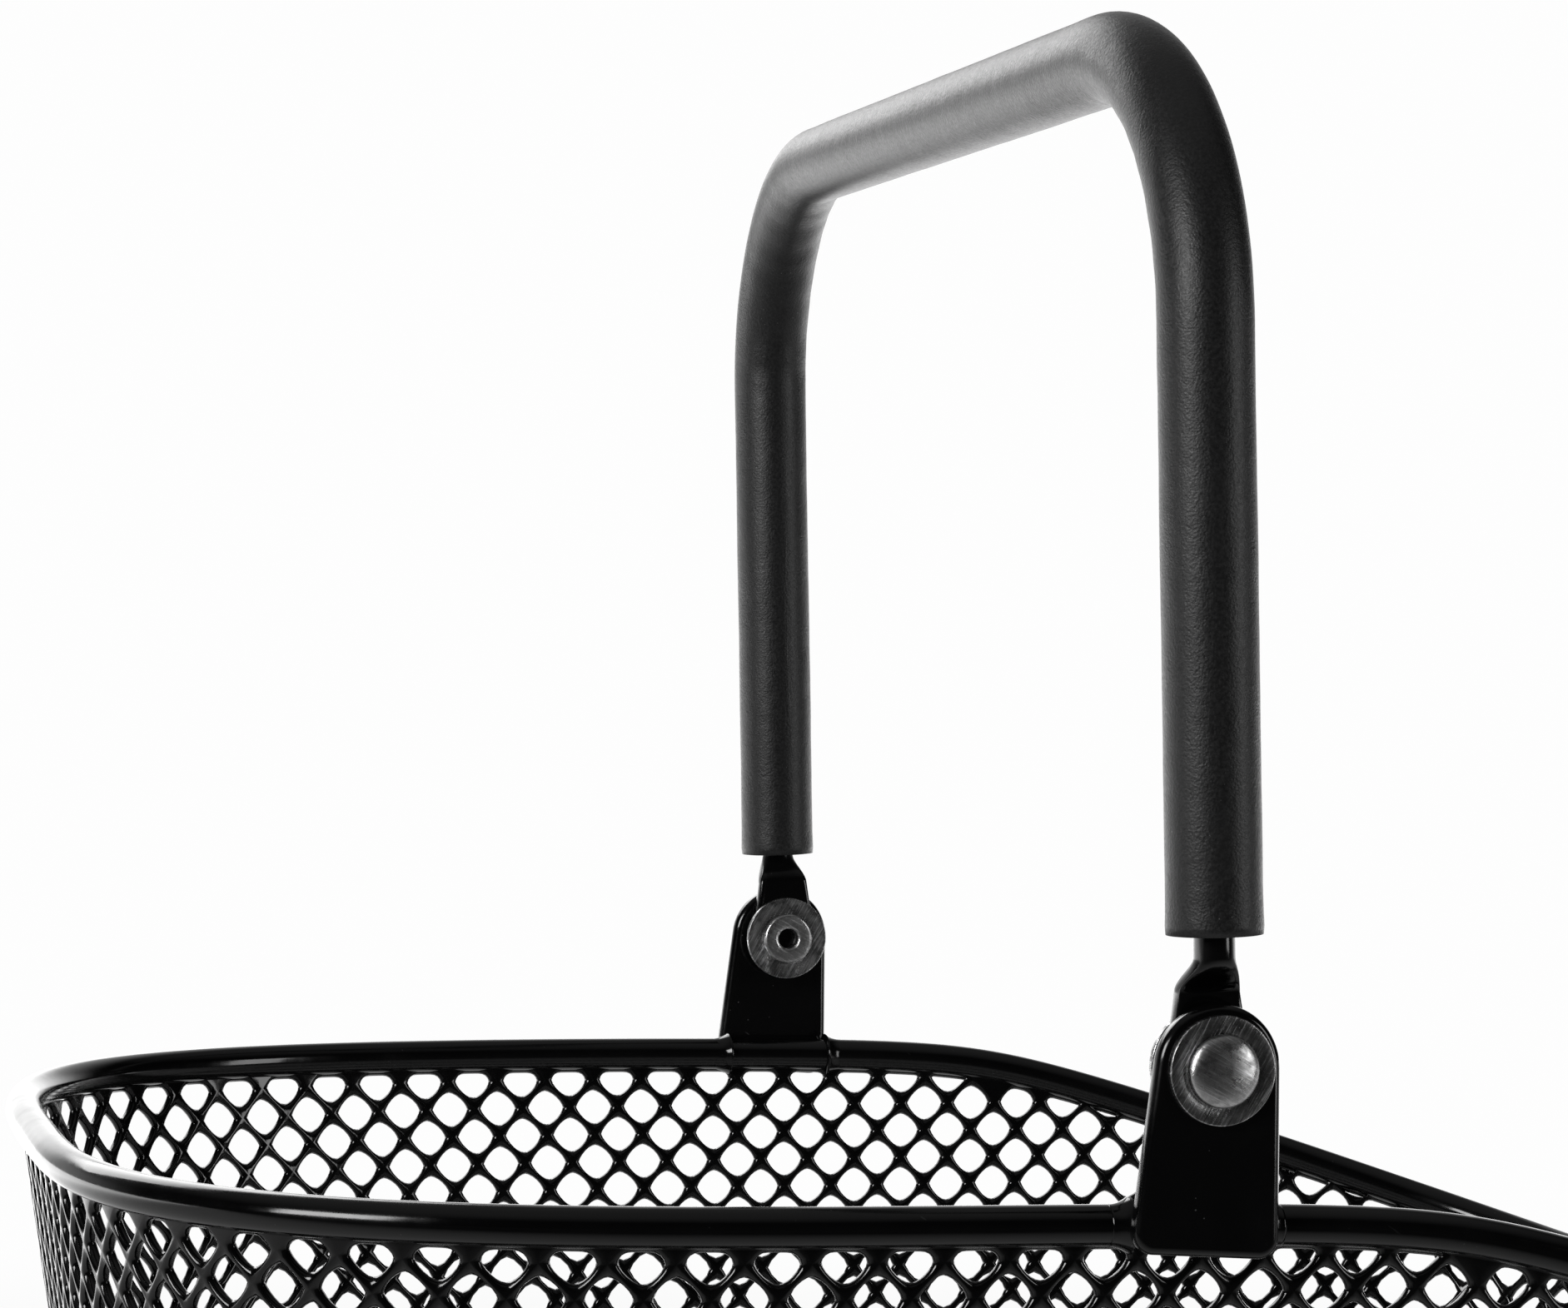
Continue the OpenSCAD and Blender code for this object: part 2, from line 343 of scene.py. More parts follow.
def foam_skin(name):
    """Matte charcoal rubber foam: fine leathery pores, soft dents, faint rubbed streaks."""
    n = Nodes(name)
    pores = n.cells(1900)
    grain = n.noise(1500, 4.0, 0.7)
    skin = n.math("ADD", n.math("MULTIPLY", pores, 0.6), grain)
    dents = n.noise(120, 3.0, 0.55)
    along = n.mapped((700, 700, 60))
    creases = n.ramp(n.noise(0.35, 3.0, 0.6, along), 0.3, 0.36, 1.0, 0.0)
    rubbed = n.ramp(n.noise(38, 4.0, 0.6), 0.45, 0.72)
    lint = n.ramp(n.cells(520), 0.075, 0.045)
    lint = n.math("MULTIPLY", lint, n.ramp(n.noise(60, 2.0), 0.5, 0.6))
    shade = n.mix(rubbed, (0.0075, 0.0075, 0.0077), (0.012, 0.012, 0.0122))
    shade = n.mix(n.ramp(grain, 0.35, 0.7), shade, (0.018, 0.018, 0.0182))
    colour = n.mix(lint, shade, (0.12, 0.12, 0.12))
    roughness = n.ramp(grain, 0.3, 0.75, 0.36, 0.5)
    normal = n.bump(skin, 0.00012, 0.55)
    normal = n.bump(dents, 0.0006, 0.35, normal)
    normal = n.bump(creases, 0.0002, 0.15, normal)
    return n.finish(colour, roughness, normal, IOR=1.5)


WIRE_BLACK = coated_metal("coated_wire", 0.2)
PLATE_BLACK = coated_metal("coated_plate", 0.6)
MESH_BLACK = coated_metal("coated_sheet", 0.1)
STEEL = bare_steel("bare_steel", 0.2, 0.5, 1.05)
DOME_STEEL = bare_steel("domed_steel", 0.5, 0.7, -0.5)
FOAM = foam_skin("grip_foam")

# ---------------------------------------------------------------- expanded mesh

# a strand's cross section: share of the way out to the cell's edge, and share of the half thickness
DEPTHS = ((1.0, 1.0), (0.55, 0.93), (0.2, 0.66))
SHEET_INTO_RIM = 0.4 * RIM_R          # the sheet ends this far below the middle of the rim's wire
EDGE_UNDER_RIM = 0.55 * MM            # solid sheet left between the wire and a cut hole
EDGE_OVER_BASE = 0.6 * MM
SMALLEST_HOLE = 2.4 * MM              # a cut hole lower than this is left closed
FINE_ROWS = 6                         # rows at the top that have more points to a hole
FLOOR_HALF_T = 1.0 * MM
FLOOR_INSET = 0.6 * BASE_R


def tile_outlines(quarter):
    """The cell's diamond edge and its hole, point by point, with this many points a quarter."""
    count = 4 * quarter
    k = np.arange(count)
    u = k / quarter
    side = np.floor(u)
    f = u - side
    corners = np.array([[1, 0], [0, 1], [-1, 0], [0, -1], [1, 0]], float)
    edge = corners[side.astype(int)] * (1 - f)[:, None] + corners[side.astype(int) + 1] * f[:, None]
    angle = np.pi / 2 * u
    e = 2 / HOLE_POWER
    hole = np.stack([signed_power(np.cos(angle), e), signed_power(np.sin(angle), e)], 1)
    return edge * [PITCH / 2, ROW], hole * [HOLE_X, HOLE_Z]


def round_off(ring, highest, rounds):
    """Softens the corners that a cut leaves in a hole. highest holds the cut's height at each point."""
    for _ in range(rounds):
        ring = 0.5 * ring + 0.25 * (np.roll(ring, 1, 0) + np.roll(ring, -1, 0))
    ring[:, 1] = np.minimum(ring[:, 1], highest)
    return ring


class MeshSheet:
    """Collects cells in sheet coordinates (across, up, out) and maps them to space at the end."""

    def __init__(self, half_thickness):
        self.h = half_thickness
        self.points = []
        self.faces = []

    def add_cell(self, edge, hole):
        """edge and hole are rings of (across, up). hole may be None for a cell with no hole."""
        count = len(edge)
        first = sum(len(p) for p in self.points)
        if hole is None:
            centre = edge.mean(0)
            rings = (edge, 0.5 * (edge + centre))
            faces = [np.column_stack([r, np.full(count, h)]) for h in (self.h, -self.h) for r in rings]
            self.points += [np.vstack(faces)]
            for part, flip in ((0, False), (2 * count, True)):
                self.band(first + part, first + part + count, count, flip)
                inner = [first + part + count + k for k in range(count)]
                self.faces.append(tuple(inner if not flip else inner[::-1]))
            return
        away = edge - hole
        levels = list(DEPTHS) + [(0.0, 0.0)] + [(s, -d) for s, d in reversed(DEPTHS)]
        rings = [np.column_stack([hole + away * s, np.full(count, d * self.h)]) for s, d in levels]
        self.points += [np.vstack(rings)]
        for i in range(len(rings) - 1):
            self.band(first + i * count, first + (i + 1) * count, count, False)

    def band(self, a, b, count, flip):
        """Faces between the ring that starts at point a and the one at point b."""
        for k in range(count):
            m = (k + 1) % count
            face = (a + k, a + m, b + m, b + k)
            self.faces.append(face[::-1] if flip else face)

    def build(self, name, to_space, material, body):
        flat = np.vstack(self.points)
        verts = to_space(flat[:, 0], flat[:, 1], flat[:, 2])
        mesh = bpy.data.meshes.new(name)
        mesh.from_pydata(verts.tolist(), [], self.faces)
        bm = bmesh.new()
        bm.from_mesh(mesh)
        bmesh.ops.remove_doubles(bm, verts=bm.verts, dist=0.004 * MM)
        bmesh.ops.dissolve_degenerate(bm, edges=bm.edges, dist=0.003 * MM)
        bmesh.ops.recalc_face_normals(bm, faces=bm.faces)
        bm.to_mesh(mesh)
        bm.free()
        return finish_object(name, mesh, material, body)


def column_map():
    """Station angle as a function of the column number, with a whole number of columns on each half."""
    quarter = np.linspace(0, math.pi / 2, 2001)[1:-1]
    columns, stations, total = [np.zeros(1)], [np.full(1, 1.5 * math.pi)], 0
    for reach, power, turn in ((FRONT, FRONT_POWER, math.pi), (BACK, BACK_POWER, 0.0)):
        steep = np.arctan((np.tan(quarter) * reach / HALF_W) ** (power / 2))
        half_turn = np.concatenate([steep[::-1], [0.0], -steep, [-math.pi / 2]]) + turn
        x, y = wall_xy(np.concatenate([[turn + math.pi / 2], half_turn]), RIM_Z)
        length = np.cumsum(np.hypot(np.diff(x), np.diff(y)))
        count = round(length[-1] / PITCH)
        columns.append(total + length / length[-1] * count)
        stations.append(half_turn)
        total += count
    return np.concatenate(columns), np.concatenate(stations), total


COLUMNS, STATIONS, COLUMN_COUNT = column_map()


def wall_to_space(across, up, out):
    """Sheet coordinates to space: out is measured square to the wall, away from the basket."""
    t = np.interp(np.mod(across / PITCH, COLUMN_COUNT), COLUMNS, STATIONS)
    x, y = wall_xy(t, up)
    front = np.cos(t) < 0
    n = np.where(front, FRONT_POWER, BACK_POWER)
    a = np.where(front, FRONT, BACK) - (RIM_Z - up) * END_TAPER
    b = HALF_W - (RIM_Z - up) * SIDE_TAPER
    u, v = np.abs(x / a), np.abs(y / b)
    down = -(u ** n * END_TAPER / a + v ** n * SIDE_TAPER / b)
    normal = np.stack([np.sign(x) * u ** (n - 1) / a, np.sign(y) * v ** (n - 1) / b, down], 1)
    normal /= np.linalg.norm(normal, axis=1)[:, None]
    return np.stack([x, y, up], 1) + normal * out[:, None]


def wall_mesh():
    """Rows of diamond cells from the rim down to the base hoop, cut to the rim's slope."""
    sheet = MeshSheet(STRAND_H)
    fine, coarse = tile_outlines(6), tile_outlines(3)
    first_row = RIM_Z - ROW
    foot = BASE_Z + 0.5 * MM
    lowest_hole = BASE_Z + BASE_R + EDGE_OVER_BASE
    row = -1
    while first_row - row * ROW + ROW > foot:
        z = first_row - row * ROW
        edge0, hole0 = fine if row < FINE_ROWS else coarse
        for column in range(COLUMN_COUNT):
            across = (column + (0.5 if row % 2 == 0 else 0.0)) * PITCH
            centre = np.array([across, z])
            edge, hole = edge0 + centre, hole0 + centre
            t = np.interp(np.mod(edge[:, 0] / PITCH, COLUMN_COUNT), COLUMNS, STATIONS)
            x = wall_xy(t, RIM_Z)[0]
            slope = (drop(x + MM) - drop(x - MM)) / (2 * MM)
            lean = np.sqrt(1 + slope * slope)
            top = rim_z(t)
            if (edge[:, 1] > top - SHEET_INTO_RIM).all():
                continue
            edge[:, 1] = np.clip(edge[:, 1], foot, top - SHEET_INTO_RIM)
            order = np.argsort(edge[:, 0])
            highest = top - (RIM_R + EDGE_UNDER_RIM) * lean
            cut = np.interp(hole[:, 0], edge[:, 0][order], highest[order])
            if (hole[:, 1] > cut).any() or (hole[:, 1] < lowest_hole).any():
                hole[:, 1] = np.maximum(np.minimum(hole[:, 1], cut), lowest_hole)
                hole = round_off(hole, cut, 2)
                if np.ptp(hole[:, 1]) < SMALLEST_HOLE:
                    hole = None
            sheet.add_cell(edge, hole)
        row += 1
    obj = sheet.build("wall_expanded_mesh", wall_to_space, MESH_BLACK, "basket")
    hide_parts("wall_mesh")


def floor_mesh():
    """The floor's sheet, its cells trimmed to the base hoop and closed along the edge."""
    lo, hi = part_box("floor_mesh")
    middle = (lo.z + hi.z) / 2
    below = RIM_Z - BASE_Z
    half = HALF_W - below * SIDE_TAPER - FLOOR_INSET

    def outside(x, y):
        """1 on the floor's outline, less inside it and more outside."""
        n = np.where(x < 0, FRONT_POWER, BACK_POWER)
        reach = np.where(x < 0, FRONT, BACK) - below * END_TAPER - FLOOR_INSET
        return ((np.abs(x) / reach) ** n + (np.abs(y) / half) ** n) ** (1 / n)

    sheet = MeshSheet(FLOOR_HALF_T)
    edge0, hole0 = tile_outlines(3)
    rows = int(half / ROW) + 2
    columns = int(BACK / PITCH) + 2
    for row in range(-rows, rows + 1):
        for column in range(-columns, columns + 1):
            centre = np.array([(column + 0.5 * (row % 2)) * PITCH, row * ROW])
            edge, hole = edge0 + centre, hole0 + centre
            far = outside(edge[:, 0], edge[:, 1])
            if (far > 1).all():
                continue
            edge = edge / np.maximum(far, 1)[:, None]
            if (outside(hole[:, 0], hole[:, 1]) > 0.985).any():
                hole = None
            sheet.add_cell(edge, hole)

    def to_space(x, y, out):
        return np.stack([x, y, middle + out], 1)

    obj = sheet.build("floor_expanded_mesh", to_space, MESH_BLACK, "basket")
    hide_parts("floor_mesh")


# ---------------------------------------------------------------- wires


def rim_hoop():
    """The rim's round wire, all the way round."""
    t = arc_length_stations(520)
    x, y = wall_xy(t, rim_z(t))
    points = np.stack([x, y, rim_z(t)], 1)
    verts, faces = closed_sweep(points, RIM_R, 32)
    obj = new_object("rim_wire", verts, faces, WIRE_BLACK, "basket")
    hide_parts("rim_hoop")


def base_hoop():
    """The thinner round wire at the foot of the wall."""
    t = arc_length_stations(320)
    x, y = wall_xy(t, BASE_Z)
    points = np.stack([x, y, np.full_like(x, BASE_Z)], 1)
    verts, faces = closed_sweep(points, BASE_R, 20)
    obj = new_object("base_wire", verts, faces, WIRE_BLACK, "basket")
    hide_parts("base_hoop")


def floor_wires():
    """Three straight wires across the floor, with small bevels at their ends."""
    for i in (1, 2, 3):
        node = f"floor_wire_{i}"
        lo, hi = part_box(node)
        r = (hi.z - lo.z) / 2
        tip = 0.8 * MM
        half = (hi.y - lo.y) / 2
        profile = [(0, -half), (r - tip, -half), (r, tip - half)]
        profile += [(r, half - tip), (r - tip, half), (0, half)]
        bm = lathe(profile, 24)
        bmesh.ops.translate(bm, verts=bm.verts, vec=((lo.x + hi.x) / 2, 0, (lo.z + hi.z) / 2))
        obj = object_from_bmesh(f"{node}_turned", bm, WIRE_BLACK, "basket")
        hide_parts(node)


def skids():
    """Two flat bars with round ends under the floor."""
    for side in ("left", "right"):
        node = f"skid_{side}"
        lo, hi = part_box(node)
        r = (hi.y - lo.y) / 2
        half = (hi.x - lo.x) / 2 - r
        outline = arc(half, 0, r, -90, 90, 16) + arc(-half, 0, r, 90, 270, 16)
        bm = plate(outline, hi.z - lo.z, 0.5 * MM, 2)
        bmesh.ops.translate(bm, verts=bm.verts, vec=(0, (lo.y + hi.y) / 2, lo.z))
        obj = object_from_bmesh(f"{node}_bar", bm, WIRE_BLACK, "basket")
        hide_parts(node)


def plate(outline, thickness, round_r, segments):
    """Flat plate on z = 0 with rounded edges on both faces, from an (x, y) outline."""
    bm = bmesh.new()
    levels = []
    for i in range(segments + 1):
        a = math.pi / 2 * i / segments
        levels.append((round_r * (1 - math.sin(a)), round_r * (1 - math.cos(a))))
    levels += [(inset, thickness - z) for inset, z in reversed(levels)]
    count = len(outline)
    pts = [Vector((*p, 0)) for p in outline]
    inward = []
    for i, p in enumerate(pts):
        along = (pts[(i + 1) % count] - pts[i - 1]).normalized()
        inward.append(Vector((-along.y, along.x, 0)))
    rings = []
    for inset, z in levels:
        rings.append([bm.verts.new(p + n * inset + Vector((0, 0, z))) for p, n in zip(pts, inward)])
    for a, b in zip(rings, rings[1:]):
        for k in range(count):
            m = (k + 1) % count
            bm.faces.new((a[k], a[m], b[m], b[k]))
    bm.faces.new(rings[0][::-1])
    bm.faces.new(rings[-1])
    return bm


# ---------------------------------------------------------------- brackets and welds

BRACKET_TOP = 12.3 * MM
FOOT_HALF = 14.4 * MM
FOOT_DROP = 35.2 * MM
FOOT_CORNER = 4.0 * MM
BRACKET_LEAN = math.radians(3.3)      # about the pivot, top towards the low end
PLATE_EDGE_R = 1.7 * MM
BEAD_RUN = 4.4 * MM
BEAD_RISE = 1.5 * MM
BEAD_BITE = 1.6 * MM                  # how far a bead starts inside the plate's edge
BEAD_ROUGH = 0.12 * MM
BEAD_X = 16 * MM                      # about where the beads sit along the rim


def out_along(bm, side, distance):
    """Stands what was made lying on z = 0, its up towards +Y, on one side of the basket, z outwards."""
    turn = Matrix.Rotation(math.radians(90), 4, "X")
    bmesh.ops.transform(bm, matrix=turn, verts=bm.verts)
    # the plate's thickness now runs along -Y
    if side > 0:
        bmesh.ops.transform(bm, matrix=Matrix.Rotation(math.pi, 4, "Z"), verts=bm.verts)
    bmesh.ops.translate(bm, verts=bm.verts, vec=(0, side * distance, PIVOT_Z))


def brackets():
    """Two tapered plates with a round top and small rounded corners at the foot."""
    cx = FOOT_HALF - FOOT_CORNER
    cy = FOOT_CORNER - FOOT_DROP
    apart = math.hypot(cx, cy)
    turn = math.degrees(math.atan2(cy, cx) + math.acos((BRACKET_TOP - FOOT_CORNER) / apart))
    outline = arc(0, 0, BRACKET_TOP, turn, 180 - turn, 40)
    outline += arc(-cx, cy, FOOT_CORNER, 180 - turn, 270, 12)
    outline += arc(cx, cy, FOOT_CORNER, -90, turn, 12)
    for side, name in ((-1, "left"), (1, "right")):
        bm = plate(outline, PLATE_OUT - PLATE_IN, PLATE_EDGE_R, 6)
        bmesh.ops.transform(bm, matrix=Matrix.Rotation(side * BRACKET_LEAN, 4, "Z"), verts=bm.verts)
        out_along(bm, side, PLATE_IN)
        obj = object_from_bmesh(f"bracket_plate_{name}", bm, PLATE_BLACK, "basket")
        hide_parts(f"bracket_{name}")


def weld_beads():
    """Short flared beads where the rim's wire meets the bracket, one on each edge of each bracket."""
    for side, name in ((-1, "left"), (1, "right")):
        for end, place in ((-1, "front"), (1, "back")):
            start = FOOT_HALF - BEAD_BITE
            inner = RIM_R - 0.6 * MM
            skin = RIM_R + 0.02 * MM
            steps = np.linspace(0, 1, 12)
            flare = [(skin + BEAD_RISE * (1 - s) ** 2.2, start + BEAD_RUN * s) for s in steps]
            profile = [(inner, start)] + flare + [(inner, start + BEAD_RUN)]
            bm = lathe(profile, 40)
            bmesh.ops.transform(bm, matrix=Matrix.Rotation(math.radians(-90 * end), 4, "Z"), verts=bm.verts)
            aside = (RIM_Z - PIVOT_Z) * math.tan(BRACKET_LEAN)
            shift = Vector((aside, side * HALF_W, RIM_Z - float(drop(end * BEAD_X))))
            bmesh.ops.translate(bm, verts=bm.verts, vec=shift)
            for v in bm.verts:
                wobble = noise.noise(v.co * 420)
                v.co += Vector((0, side, 0.4)) * wobble * BEAD_ROUGH
            object_from_bmesh(f"weld_{name}_{place}", bm, PLATE_BLACK, "basket")


# ---------------------------------------------------------------- rivets and washers

WASHER_T = 1.6 * MM
WASHER_R = 10.4 * MM
WASHER_BORE_R = 4.1 * MM
WASHER_EDGE_R = 0.3 * MM
SHANK_R = 4 * MM
HEAD_R = 6.9 * MM
HEAD_H = 2.6 * MM
HEAD_LIP = 0.45 * MM                  # upright edge under the domed head
TAIL_R = 6.4 * MM
TAIL_H = 1.8 * MM
TUBE_R = 2.5 * MM                     # the hole up the rivet's open end
TUBE_LIP = 0.9 * MM


def turned(name, profile, side, material, node):
    """A turned piece on the pivot's axis. profile holds (radius, distance out from the middle plane)."""
    bm = lathe(profile, 72)
    if side < 0:
        bmesh.ops.transform(bm, matrix=Matrix.Rotation(math.pi, 4, "Z"), verts=bm.verts)
    bmesh.ops.translate(bm, verts=bm.verts, vec=(0, 0, PIVOT_Z))
    obj = object_from_bmesh(name, bm, material, "basket")
    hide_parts(node)


def washer_profile(low):
    """Closed profile of a washer whose inner face lies at low, with small rounded edges."""
    high = low + WASHER_T
    round_r = WASHER_R - WASHER_EDGE_R
    pts = [(WASHER_BORE_R, low), (round_r, low)]
    pts += arc(round_r, low + WASHER_EDGE_R, WASHER_EDGE_R, -90, 0, 4)
    pts += arc(round_r, high - WASHER_EDGE_R, WASHER_EDGE_R, 0, 90, 4)
    pts += [(WASHER_BORE_R, high), (WASHER_BORE_R, low)]
    return pts


def rivets():
    """On each side a washer outside the bracket, one inside the rod's eye, and the rivet through them."""
    tail_face = PADDLE_MID - PADDLE_T / 2 - PIVOT_GAP - WASHER_T
    head_face = PLATE_OUT + WASHER_T
    dome = []
    for i in range(1, 15):
        a = math.pi / 2 * i / 14
        dome.append((HEAD_R * math.sin(a), head_face + HEAD_LIP + (HEAD_H - HEAD_LIP) * math.cos(a)))
    roll = arc(TAIL_R - TAIL_H / 2, tail_face - TAIL_H / 2, TAIL_H / 2, 90, -90, 10)
    lip_in = arc(TUBE_R + TUBE_LIP, tail_face - TAIL_H + TUBE_LIP, TUBE_LIP, -90, -180, 6)
    profile = [(0.0, head_face + HEAD_H)] + dome + [(HEAD_R, head_face), (SHANK_R, head_face)]
    profile += [(SHANK_R, tail_face)] + roll + lip_in
    profile += [(TUBE_R, tail_face + 5 * MM), (0.0, tail_face + 6 * MM)]
    for side, name in ((-1, "left"), (1, "right")):
        outer, inner = washer_profile(PLATE_OUT), washer_profile(tail_face)
        turned(f"washer_outside_{name}", outer, side, STEEL, f"outer_washer_{name}")
        turned(f"washer_inside_{name}", inner, side, STEEL, f"inner_washer_{name}")
        turned(f"rivet_turned_{name}", profile, side, DOME_STEEL, f"rivet_{name}")


# ---------------------------------------------------------------- handle


def bail_path(start_left, start_right, step):
    """Points of the handle's middle line, upright about the pivot, from the left leg over to the right."""
    def straight(a, b):
        return list(np.linspace(a, b, max(2, int(abs(b - a) / step))))

    pts = [(-LEG_Y, z) for z in straight(start_left, RISE - BEND)]
    bend = [math.radians(180 - 90 * i / 36) for i in range(1, 37)]
    pts += [(-(LEG_Y - BEND) + BEND * math.cos(a), RISE - BEND + BEND * math.sin(a)) for a in bend]
    pts += [(y, RISE) for y in straight(-(LEG_Y - BEND), LEG_Y - BEND)[1:]]
    bend = [math.radians(90 - 90 * i / 36) for i in range(1, 37)]
    pts += [((LEG_Y - BEND) + BEND * math.cos(a), RISE - BEND + BEND * math.sin(a)) for a in bend]
    pts += [(LEG_Y, z) for z in straight(RISE - BEND, start_right)[1:]]
    return [Vector((0, y, z)) for y, z in pts]


STAND = Matrix.Translation((0, 0, PIVOT_Z)) @ Matrix.Rotation(-LEAN, 4, "Y")


def tube_rings(bm, path, radii, sides):
    """Rings square to a path in the plane x = 0. radii holds the radius at each point."""
    rings = []
    for i, p in enumerate(path):
        a, b = path[max(i - 1, 0)], path[min(i + 1, len(path) - 1)]
        along = (b - a).normalized()
        across = Vector((1, 0, 0))
        rise = along.cross(across)
        ring = []
        for k in range(sides):
            angle = 2 * math.pi * k / sides
            d = math.cos(angle) * across + math.sin(angle) * rise
            ring.append(bm.verts.new(p + d * radii[i]))
        rings.append(ring)
    return rings


def join_rings(bm, rings):
    """Faces between each ring and the next."""
    sides = len(rings[0])
    for a, b in zip(rings, rings[1:]):
        for k in range(sides):
            m = (k + 1) % sides
            bm.faces.new((a[k], a[m], b[m], b[k]))


def sleeve_radii(path):
    """The sleeve's radius at each point of its path: a slight flare and a rounded corner at both ends."""
    length = [0.0]
    for a, b in zip(path, path[1:]):
        length.append(length[-1] + (b - a).length)
    radii = []
    for s in length:
        end = min(s, length[-1] - s)
        flare = 0.22 * MM * math.exp(-end / (3 * MM))
        corner = 0.22 * MM * max(0.0, 1 - end / (0.5 * MM)) ** 2
        radii.append(GRIP_R - 0.12 * MM + flare - corner)
    return radii


def close_sleeve_end(bm, ring, tip, inwards):
    """A rounded annulus, and a short bore that shows the rod going in."""
    end_face = -0.12 * MM
    levels = [(GRIP_R - 1.1 * MM, end_face), (ROD_R + 1.0 * MM, end_face)]
    levels += [(ROD_R + 0.25 * MM, 0.25 * MM), (ROD_R + 0.12 * MM, 6 * MM)]
    for r, depth in levels:
        new_ring = []
        for v in ring:
            d = v.co - tip
            d -= inwards * d.dot(inwards)
            new_ring.append(bm.verts.new(tip + d.normalized() * r + inwards * depth))
        join_rings(bm, [ring, new_ring])
        ring = new_ring


def soften(p):
    """How far the foam's skin stands out at a point: soft swells, and creases inside the two bends."""
    swell = noise.noise(p * 38) * 0.10 * MM + noise.noise(p * 130 + Vector((7, 3, 1))) * 0.05 * MM
    centre_y = math.copysign(LEG_Y - BEND, p.y)
    rel = Vector((0, p.y - centre_y, p.z - (RISE - BEND)))
    beyond = abs(p.y) > LEG_Y - BEND and p.z > RISE - BEND
    if beyond and rel.length < BEND:
        depth = min(1.0, (BEND - rel.length) / GRIP_R)
        angle = math.atan2(rel.z, abs(rel.y))
        swell += depth * 0.10 * MM * math.sin(angle * 34 + 2.2 * noise.noise(p * 90))
    return swell


def grip_sleeve():
    """The foam sleeve over the whole bail."""
    path = bail_path(GRIP_START_LEFT, GRIP_START_RIGHT, 1.6 * MM)
    bm = bmesh.new()
    rings = tube_rings(bm, path, sleeve_radii(path), 64)
    join_rings(bm, rings)
    close_sleeve_end(bm, rings[0], path[0], (path[1] - path[0]).normalized())
    close_sleeve_end(bm, rings[-1], path[-1], (path[-2] - path[-1]).normalized())
    bm.normal_update()
    for v in bm.verts:
        v.co += v.normal * soften(v.co)
    bmesh.ops.transform(bm, matrix=STAND, verts=bm.verts)
    obj = object_from_bmesh("grip_foam_sleeve", bm, FOAM, "handle")
    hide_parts("grip_sleeve")


def rod_end(bm, side, start):
    """One end of the rod: a flat eye, a shouldered neck, and the round rod up to where the bail starts."""
    sides = 48
    eye_r, neck_half = 8.5 * MM, 6.2 * MM
    neck_z, round_z = 14 * MM, 21 * MM
    half_t = PADDLE_T / 2
    aside = LEG_Y - PADDLE_MID
    flat, neck_flat, full_round = 8.0, 7.0, 2.0
    # each station: height, half width across, half thickness, squareness, offset outwards
    stations = []
    for i in range(13):
        a = math.radians(-90 + 100 * i / 12)
        stations.append((eye_r * math.sin(a), max(eye_r * math.cos(a), 0.4 * MM), half_t, flat, 0.0))
    stations.append((5 * MM, 7.6 * MM, half_t, flat, 0.0))
    stations.append((10 * MM, 6.7 * MM, half_t, flat, 0.0))
    stations.append((neck_z, neck_half, half_t, neck_flat, 0.0))
    for i in range(1, 9):
        s = i / 8
        ease = s * s * (3 - 2 * s)
        height = neck_z + (round_z - neck_z) * s
        wide = neck_half + (ROD_R - neck_half) * ease
        thick = half_t + (ROD_R - half_t) * ease
        power = neck_flat + (full_round - neck_flat) * ease
        stations.append((height, wide, thick, power, aside * ease))
    stations.append((start, ROD_R, ROD_R, full_round, aside))
    rings = []
    for height, wide, thick, power, offset in stations:
        ring = []
        for k in range(sides):
            a = 2 * math.pi * k / sides
            x = wide * float(signed_power(np.cos(a), 2 / power))
            y = thick * float(signed_power(np.sin(a), 2 / power))
            ring.append(bm.verts.new((x, side * (PADDLE_MID + offset + y), height)))
        rings.append(ring)
    join_rings(bm, rings)
    bm.faces.new(rings[0])


def handle_rod():
    """The rod's two worked ends, and the plain bent rod from one to the other."""
    start = 24 * MM
    bm = bmesh.new()
    rod_end(bm, -1, start)
    rod_end(bm, 1, start)
    path = bail_path(start, start, 3 * MM)
    join_rings(bm, tube_rings(bm, path, [ROD_R] * len(path), 40))
    bmesh.ops.transform(bm, matrix=STAND, verts=bm.verts)
    obj = object_from_bmesh("handle_steel_rod", bm, WIRE_BLACK, "handle")
    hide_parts("handle_rod")


# ---------------------------------------------------------------- stage, light, camera

WHITE = 0.985                         # the empty background's brightness


